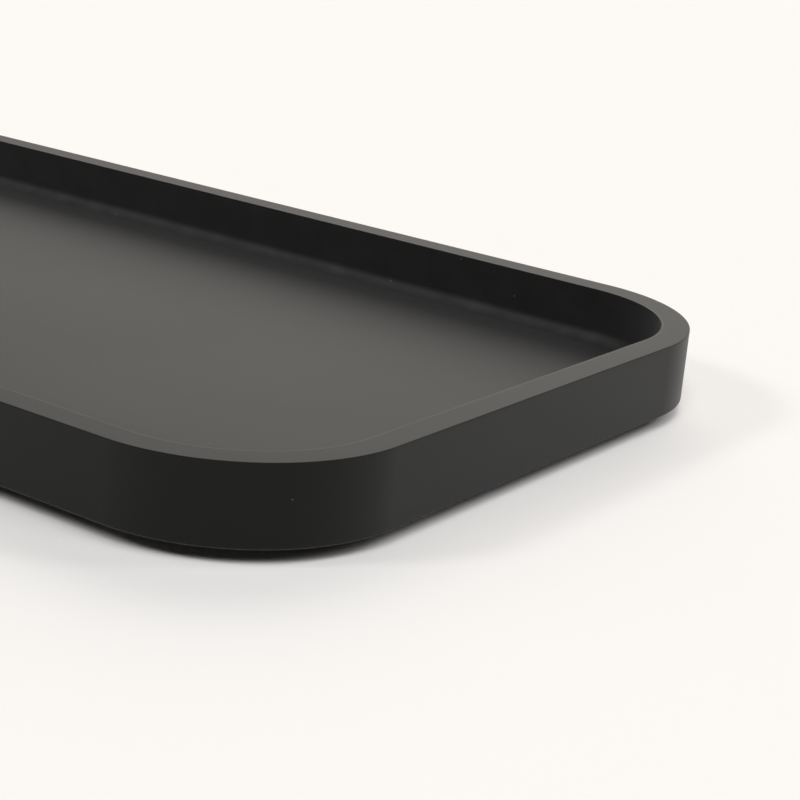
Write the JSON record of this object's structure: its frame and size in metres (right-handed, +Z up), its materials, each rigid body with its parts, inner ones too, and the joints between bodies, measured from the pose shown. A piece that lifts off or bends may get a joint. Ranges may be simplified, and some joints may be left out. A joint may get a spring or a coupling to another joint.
{
  "type": "rectangular tray",
  "caption": "Low rectangular tray with rounded corners, upright walls and a flat rim, standing on four round rubber feet; matte black.",
  "frame": {"origin": "middle of the footprint, on the surface that the tray stands on", "axes": "+X along the tray's length, +Y across it, +Z up, out of the open side"},
  "size_m": [0.34, 0.17, 0.0189],
  "materials": {
    "matte_black_plastic": "soft-touch matte black, with a dull sheen at grazing angles",
    "foot_rubber": "dull black rubber"
  },
  "bodies": {
    "root": {"tray_body": "matte_black_plastic", "foot_front_left": "foot_rubber", "foot_front_right": "foot_rubber", "foot_back_left": "foot_rubber", "foot_back_right": "foot_rubber"}
  },
  "joints": []
}
